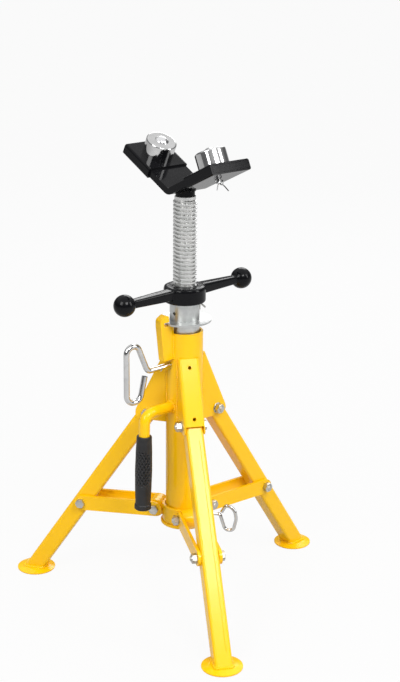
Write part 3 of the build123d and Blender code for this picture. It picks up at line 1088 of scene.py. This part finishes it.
@dataclass
class JackNut:
    """The cast nut with its two arms and balls."""

    hub: float = 34.0
    bore: float = 19.35
    foot: float = 510.3
    top: float = 537.0
    azimuth: float = 29.0
    arm_height: float = 526.0
    arm_root: tuple[float, float, float] = (26.0, 10.5, 9.0)
    arm_tip: tuple[float, float, float] = (114.0, 7.0, 6.5)
    ball_reach: float = 125.0
    ball: float = 17.6
    lower_edge: tuple[tuple[float, float], ...] = ((3.0, 0.0), (0.8, 0.8), (0.0, 3.0))
    upper_edge: tuple[tuple[float, float], ...] = ((0.0, 5.0), (1.2, 1.4), (4.5, 0.0))
    arm_square: float = 0.38
    arm_parts: int = 8
    ball_parts: int = 24
    sides: int = 48
    voxel: float = 0.8
    relax_share: float = 0.5
    relax_rounds: int = 3

    def build(self) -> None:
        """Models the casting as one blended skin."""
        form = Form("nut_casting")
        hub = [(self.bore, self.foot + 0.6), (self.bore + 0.8, self.foot)]
        hub += [(self.hub - inward, self.foot + up) for inward, up in self.lower_edge]
        hub += [(self.hub - inward, self.top - down) for inward, down in self.upper_edge]
        hub += [(self.bore + 0.8, self.top), (self.bore, self.top - 0.8)]
        form.lathe(hub, Matrix.Identity(4), 2 * self.sides)
        for azimuth in (self.azimuth, self.azimuth + 180):
            self.arm(form, azimuth)
            self.knob(form, azimuth)
        piece = form.finish(Finish.CAST_BLACK, "jack_nut", ["nut_handle"], math.pi)
        self.fuse(piece)

    def arm(self, form: Form, azimuth: float) -> None:
        """One tapered arm of a rounded square section.

        Args:
            form: Takes the shell.
            azimuth: Where it points, in degrees.
        """
        rings = []
        for k in range(self.arm_parts + 1):
            reach, half_wide, half_tall = (
                root + (tip - root) * k / self.arm_parts
                for root, tip in zip(self.arm_root, self.arm_tip)
            )
            ring = []
            for turn in turns(self.sides):
                x, z = (math.copysign(abs(part) ** self.arm_square, part)
                        for part in (math.cos(turn), math.sin(turn)))
                height = self.arm_height + z * half_tall
                ring.append(around(azimuth, reach, height, x * half_wide))
            rings.append(ring)
        form.grid(rings, closed_rows=False)

    def knob(self, form: Form, azimuth: float) -> None:
        """One ball, flat at its two poles.

        Args:
            form: Takes the shell.
            azimuth: Where its arm points, in degrees.
        """
        centre = around(azimuth, self.ball_reach, self.arm_height)
        rings = []
        for i in range(1, self.ball_parts):
            climb = math.pi * i / self.ball_parts
            radius, height = self.ball * math.sin(climb), -self.ball * math.cos(climb)
            rings.append([
                centre + Vector((radius * math.cos(a), radius * math.sin(a), height))
                for a in turns(self.sides)
            ])
        form.grid(rings, closed_rows=False)

    def fuse(self, piece: bpy.types.Object) -> None:
        """Blends the shells into one casting.

        Args:
            piece: The object whose mesh is remeshed in place.
        """
        remesh = piece.modifiers.new("fuse", "REMESH")
        remesh.mode = "VOXEL"
        remesh.voxel_size = self.voxel * MM
        remesh.use_smooth_shade = True
        relax = piece.modifiers.new("relax", "SMOOTH")
        relax.factor = self.relax_share
        relax.iterations = self.relax_rounds
        evaluated = piece.evaluated_get(bpy.context.evaluated_depsgraph_get())
        fused = bpy.data.meshes.new_from_object(evaluated)
        piece.modifiers.clear()
        old = piece.data
        piece.data = fused
        fused.name = old.name + "_fused"
        bpy.data.meshes.remove(old)
        if not fused.materials:
            fused.materials.append(PAINTBOX.of(Finish.CAST_BLACK))


@dataclass
class Head:
    """The bent plate on its post, with a shoe and a ball unit on each wing."""

    azimuth: float = 26.5
    apex: float = 698.7
    wing_angle: float = 26.0
    wing_thick: float = 11.0
    bend: float = 20.0
    post: float = 15.5
    bead: float = 1.6

    def build(self) -> None:
        """Dresses the head's parts and welds the post to the plate."""
        dress(Finish.BLACK, "vee_plate", "head_post", "shoe_left", "shoe_right")
        dress(Finish.CHROME, "ball_cup_left", "ball_cup_right", "clip_left", "clip_right")
        dress(Finish.BALL, "roller_ball_left", "roller_ball_right")
        bead = Form("post_weld")
        ring = []
        for degrees in range(0, 360, 3):
            level = self.post * math.sin(math.radians(degrees - self.azimuth))
            ring.append(around(degrees, self.post + 0.2, self.underside(abs(level))))
        bead.weld(ring, self.bead, 0.08, 9.0, closed=True)
        bead.finish(Finish.BLACK, "head")

    def underside(self, level: float) -> float:
        """The plate's underside, which is round at the bend.

        Args:
            level: Level distance from the bend's line.

        Returns:
            Its height there.
        """
        tilt = math.radians(self.wing_angle)
        corner = self.apex - self.wing_thick / math.cos(tilt)
        if level < self.bend * math.sin(tilt):
            return corner + self.bend / math.cos(tilt) - math.sqrt(self.bend**2 - level**2)
        return corner + level * math.tan(tilt)


@dataclass
class Collar:
    """The sliding collar and its three bushings."""

    radius: float = 36.0
    lug_reach: float = 46.0
    lug_height: float = 148.6
    lug: float = 15.0
    lug_half: float = 14.4
    bead: float = 1.5
    bead_gap: float = 0.3
    half_steps: int = 12

    def build(self) -> None:
        """Dresses the collar and lays a bead under each bushing."""
        dress(Finish.YELLOW, "collar_ring", *(f"lug_{leg.label}" for leg in Leg))
        for leg in Leg:
            path = []
            for step in range(-self.half_steps, self.half_steps + 1):
                shift = step * (self.lug_half - 2) / self.half_steps
                reach = math.sqrt(self.radius**2 - shift**2)
                drop = math.sqrt(self.lug**2 - (self.lug_reach - reach) ** 2)
                height = self.lug_height - drop - self.bead_gap
                path.append(around(leg.value, reach + self.bead_gap, height, shift))
            bead = Form(f"lug_weld_{leg.label}")
            bead.weld(path, self.bead, 0.1, leg.value)
            bead.finish(Finish.YELLOW, "collar")


@dataclass
class Legs:
    """The three legs, their pads and the straps."""

    pivot_reach: float = 59.0
    pivot_height: float = 318.0
    angle: float = 34.0
    width: float = 28.6
    corner: float = 4.5
    pad_top: float = 6.0
    bead: float = 2.4
    seam_shift: float = 5.5
    seam: float = 0.75
    seam_sunk: float = 0.3
    seam_step: float = 1.1
    seam_sides: int = 8

    def build(self) -> None:
        """Dresses the legs and welds each to its pad."""
        for leg in Leg:
            dress(Finish.YELLOW, f"leg_tube_{leg.label}", f"foot_pad_{leg.label}")
            dress(Finish.YELLOW, f"strap_{leg.label}_a", f"strap_{leg.label}_b")
            self.foot_weld(leg)
            self.tube_seam(leg)

    def tube_seam(self, leg: Leg) -> None:
        """Lays the rough line of the tube's own seam down one leg's outer face.

        Args:
            leg: The leg.
        """
        rise, face = leaning(leg.value, self.angle)
        pivot = around(leg.value, self.pivot_reach, self.pivot_height, self.seam_shift)
        middle = pivot + face * (self.width / 2 - self.seam_sunk)
        slant = (self.pivot_height - self.pad_top) / math.cos(math.radians(self.angle))
        low = slant - self.width / 2
        seam = Form(f"tube_seam_{leg.label}")
        path = spaced([middle - rise * self.width, middle - rise * low], self.seam_step, False)
        seam.sweep(path, bead_radius(self.seam, 0.3, leg.value), self.seam_sides)
        seam.finish(Finish.YELLOW, f"leg_{leg.label}")

    def foot_weld(self, leg: Leg) -> None:
        """Lays the bead round one leg's foot.

        Args:
            leg: The leg.
        """
        lean = math.radians(self.angle)
        centre = self.pivot_reach + (self.pivot_height - self.pad_top) * math.tan(lean)
        half_wide = self.width / 2
        half_deep = half_wide / math.cos(lean)
        corners = []
        for x_sign, y_sign, start in ((1, 1, 0), (-1, 1, 90), (-1, -1, 180), (1, -1, 270)):
            for k in range(5):
                turn = math.radians(start + 22.5 * k)
                corners.append(around(
                    leg.value,
                    centre + x_sign * (half_deep - self.corner) + self.corner * math.cos(turn),
                    self.pad_top + 0.4,
                    y_sign * (half_wide - self.corner) + self.corner * math.sin(turn),
                ))
        bead = Form(f"foot_weld_{leg.label}")
        bead.weld(spaced(corners, BEAD_STEP, True), self.bead, 0.13, leg.value, closed=True)
        bead.finish(Finish.YELLOW, f"leg_{leg.label}")


@dataclass
class Fasteners:
    """Hexagon bolts, nuts and washers at the pivots."""

    flats: float = 14.3
    head: float = 6.0
    nut: float = 8.4
    shank: float = 4.75
    plate: float = 17.2
    washer: float = 1.5
    washer_radius: float = 9.0
    strap: float = 19.6
    strap_gap: float = 0.3
    strap_thick: float = 5.0
    past_nut: float = 2.0
    thread_plain: float = 11.0
    thread_start: float = 10.5
    thread_rows: int = 7
    thread_pitch: float = 1.3
    thread_depth: float = 0.6
    pivot: tuple[float, float] = (59.0, 318.0)
    lug: tuple[float, float] = (46.0, 148.6)
    strut: float = 212.0
    angle: float = 34.0

    def build(self) -> None:
        """Models every fastener over its CAD solids."""
        heads, nuts = Form("pivot_bolt_set"), Form("pivot_nut_set")
        washers = Form("pivot_washer_set")
        lug_heads, lug_nuts = Form("lug_bolt_set"), Form("lug_nut_set")
        length = 2 * self.plate + self.washer + self.nut + self.past_nut
        for leg in Leg:
            self.bolt(heads, leg, self.pivot, self.plate, length)
            self.nut_on(nuts, leg, self.pivot, self.plate + self.washer)
            where = bolt_place(leg.value, *self.pivot, -self.plate, -1)
            hole, rim = self.shank + 0.1, self.washer_radius
            ring = [(hole, 0), (rim - 0.2, 0), (rim, 0.25), (rim, self.washer - 0.4),
                    (rim - 0.4, self.washer), (hole, self.washer)]
            washers.lathe(ring, where, 40)
            seat = self.strap + self.strap_gap
            self.bolt(lug_heads, leg, self.lug, seat, 2 * seat + self.nut + self.past_nut)
            self.nut_on(lug_nuts, leg, self.lug, seat)
        heads.finish(Finish.FASTENER, "column", ["pivot_bolts"])
        nuts.finish(Finish.FASTENER, "column", ["pivot_nuts"])
        washers.finish(Finish.FASTENER, "column", ["pivot_washers"])
        lug_heads.finish(Finish.FASTENER, "collar", ["lug_bolts"])
        lug_nuts.finish(Finish.FASTENER, "collar", ["lug_nuts"])
        self.strap_bolts()

    def bolt(
        self,
        form: Form,
        leg: Leg,
        spot: tuple[float, float],
        seat: float,
        length: float,
    ) -> None:
        """One bolt: a hexagon head and a shank whose end is threaded.

        Args:
            form: Takes the shells.
            leg: The leg it belongs to.
            spot: Reach and height of its axis.
            seat: Distance sideways of the head's seat.
            length: Length under the head.
        """
        form.hexagon(bolt_place(leg.value, *spot, seat, 1), self.flats, self.head, both_ends=False)
        self.shank_of(form, bolt_place(leg.value, *spot, seat, -1), length)

    def shank_of(self, form: Form, where: Matrix, end: float) -> None:
        """A shank with thread ridges over its last stretch.

        Args:
            form: Takes the shell.
            where: The placement of its start.
            end: Its length.
        """
        root = self.shank - self.thread_depth
        profile = [(0.0, 0.0), (self.shank, 0.0), (self.shank, end - self.thread_plain)]
        for i in range(self.thread_rows):
            height = end - self.thread_start + i * self.thread_pitch
            profile += [(root, height), (self.shank, height + 0.55), (self.shank, height + 0.75)]
        profile += [(root, end - 1.0), (self.shank - 2 * self.thread_depth, end), (0.0, end)]
        form.lathe(profile, where, SHANK_SIDES)

    def nut_on(self, form: Form, leg: Leg, spot: tuple[float, float], seat: float) -> None:
        """One plain nut with both faces turned off."""
        form.hexagon(bolt_place(leg.value, *spot, -seat, -1), self.flats, self.nut, both_ends=True)

    def strap_bolts(self) -> None:
        """The bolt at the tip of each pair of straps."""
        lean = math.radians(self.angle)
        reach, height = self.pivot
        spot = (reach + self.strut * math.sin(lean), height - self.strut * math.cos(lean))
        for leg in Leg:
            form = Form(f"strap_bolt_set_{leg.label}")
            outer = bolt_place(leg.value, *spot, self.strap, 1)
            form.hexagon(outer, self.flats, self.head, both_ends=False)
            stub = [(0, 0), (self.shank, 0), (self.shank, self.strap_thick), (0, self.strap_thick)]
            form.lathe(stub, bolt_place(leg.value, *spot, self.strap, -1), SHANK_SIDES)
            self.nut_on(form, leg, spot, self.strap)
            inner = bolt_place(leg.value, *spot, -self.strap + self.strap_thick, -1)
            self.shank_of(form, inner, self.strap_thick + self.nut + self.past_nut)
            form.finish(Finish.FASTENER, f"strut_{leg.label}", [f"strap_bolt_{leg.label}"])


@dataclass
class Studio:
    """Floor, lamps and the camera."""

    azimuth: float = -13.5
    elevation: float = 17.79
    distance: float = 2434.9
    target: float = 442.8
    sideways: float = 25.05
    roll: float = 0.454
    focal: float = 1504.9
    picture: tuple[int, int] = (400, 682)
    floor_half: float = 40.0
    floor_gloss: float = 0.35
    floor_white: float = 0.93
    sky_gloss: float = 0.1
    aim_height: float = 0.4

    def build(self) -> None:
        """Sets the whole stage."""
        self.camera()
        self.floor()
        self.lamps()
        self.sky()
        bpy.context.scene.view_settings.view_transform = "Standard"

    def camera(self) -> None:
        """Stands the camera where the photograph was taken."""
        turn, rise = math.radians(self.azimuth), math.radians(self.elevation)
        level = math.cos(rise)
        back = Vector((math.sin(turn) * level, -math.cos(turn) * level, math.sin(rise)))
        right = Vector((math.cos(turn), math.sin(turn), 0))
        up = back.cross(right)
        spin = math.radians(self.roll)
        tilted_right = right * math.cos(spin) + up * math.sin(spin)
        tilted_up = up * math.cos(spin) - right * math.sin(spin)
        spot = (UP * self.target + right * self.sideways + back * self.distance) * MM
        data = bpy.data.cameras.new("camera")
        data.sensor_width = 36.0
        data.lens = self.focal / max(self.picture) * data.sensor_width
        data.clip_end = 100.0
        seer = add_object("camera", data)
        axes = Matrix((tilted_right, tilted_up, back)).transposed().to_4x4()
        seer.matrix_world = Matrix.Translation(spot) @ axes
        bpy.context.scene.camera = seer

    def floor(self) -> None:
        """Lays a pale floor that shows white and keeps a faint shadow."""
        half = self.floor_half
        data = bpy.data.meshes.new("floor")
        corners = [(-half, -half, 0), (half, -half, 0), (half, half, 0), (-half, half, 0)]
        data.from_pydata(corners, [], [(0, 1, 2, 3)])
        graph = Graph("pale_floor")
        lit = graph.node("BsdfDiffuse", None, {"Color": (0.5, 0.5, 0.5, 1)})
        white = graph.node("Emission", None, {"Color": (1, 1, 1, 1), "Strength": 1.0})
        seen = graph.backdrop(self.floor_gloss) * self.floor_white
        shown = graph.node("MixShader", None, {0: seen, 1: lit, 2: white})
        graph.node("OutputMaterial", None, {"Surface": shown})
        data.materials.append(graph.material)
        ground = add_object("floor", data)

    def lamps(self) -> None:
        """Hangs the soft boxes."""
        self.lamp("key", (-1.9, -1.7, 2.3), 1.2, 1.6, 44)
        self.lamp("front", (0.7, -2.3, 2.45), 1.1, 0.9, 44)
        self.lamp("fill", (2.1, -1.1, 1.5), 0.7, 1.5, 19)
        self.lamp("rim", (0.9, 2.2, 1.9), 1.4, 1.2, 20)

    def lamp(self, name: str, spot: Colour, wide: float, tall: float, power: float) -> None:
        """One soft box aimed at the middle of the stand.

        Args:
            name: Its name.
            spot: Where it hangs, in metres.
            wide: Its width in metres.
            tall: Its height in metres.
            power: Watts.
        """
        data = bpy.data.lights.new(name, "AREA")
        data.shape = "RECTANGLE"
        data.size, data.size_y = wide, tall
        data.energy = power
        box = add_object(name, data)
        box.location = spot
        aim = Vector((0, 0, self.aim_height)) - Vector(spot)
        box.rotation_mode = "QUATERNION"
        box.rotation_quaternion = aim.to_track_quat("-Z", "Y")

    def sky(self) -> None:
        """Fills the room with soft light that is brighter overhead, behind a white backdrop."""
        world = bpy.data.worlds.new("room")
        world.use_nodes = True
        bpy.context.scene.world = world
        graph = Graph.inside(world.node_tree)
        toward = graph.node("TexCoord", output="Generated")
        height = graph.node("SeparateXYZ", None, {0: toward}, output="Z")
        overhead = graph.node("MapRange", None, {0: height, 1: 0.3, 2: 0.75, 3: 0.0, 4: 1.0})
        room = graph.mix(overhead, (0.06, 0.06, 0.063), (1, 1, 1))
        soft = graph.node("Background", None, {"Color": room, "Strength": 1.0})
        white = graph.node("Background", None, {"Color": (1, 1, 1, 1), "Strength": 1.0})
        seen = graph.backdrop(self.sky_gloss)
        shown = graph.node("MixShader", None, {0: seen, 1: soft, 2: white})
        graph.node("OutputWorld", None, {"Surface": shown})


def build_pins() -> None:
    """Dresses the lock pin and the ring pin."""
    dress(Finish.CHROME, "lock_pin_shaft", "lock_pin_handle", "ring_pin")


def main() -> None:
    """Builds the stand's looks and the studio round it."""
    logging.basicConfig(level=logging.INFO, format="%(name)s: %(message)s")
    upper = (Column(), Grip(), InnerTube(), JackScrew(), JackNut(), Head())
    for assembly in (*upper, Collar(), Legs(), Fasteners()):
        LOG.info("building %s", type(assembly).__name__)
        assembly.build()
    build_pins()
    Studio().build()


if __name__ == "__main__":
    main()
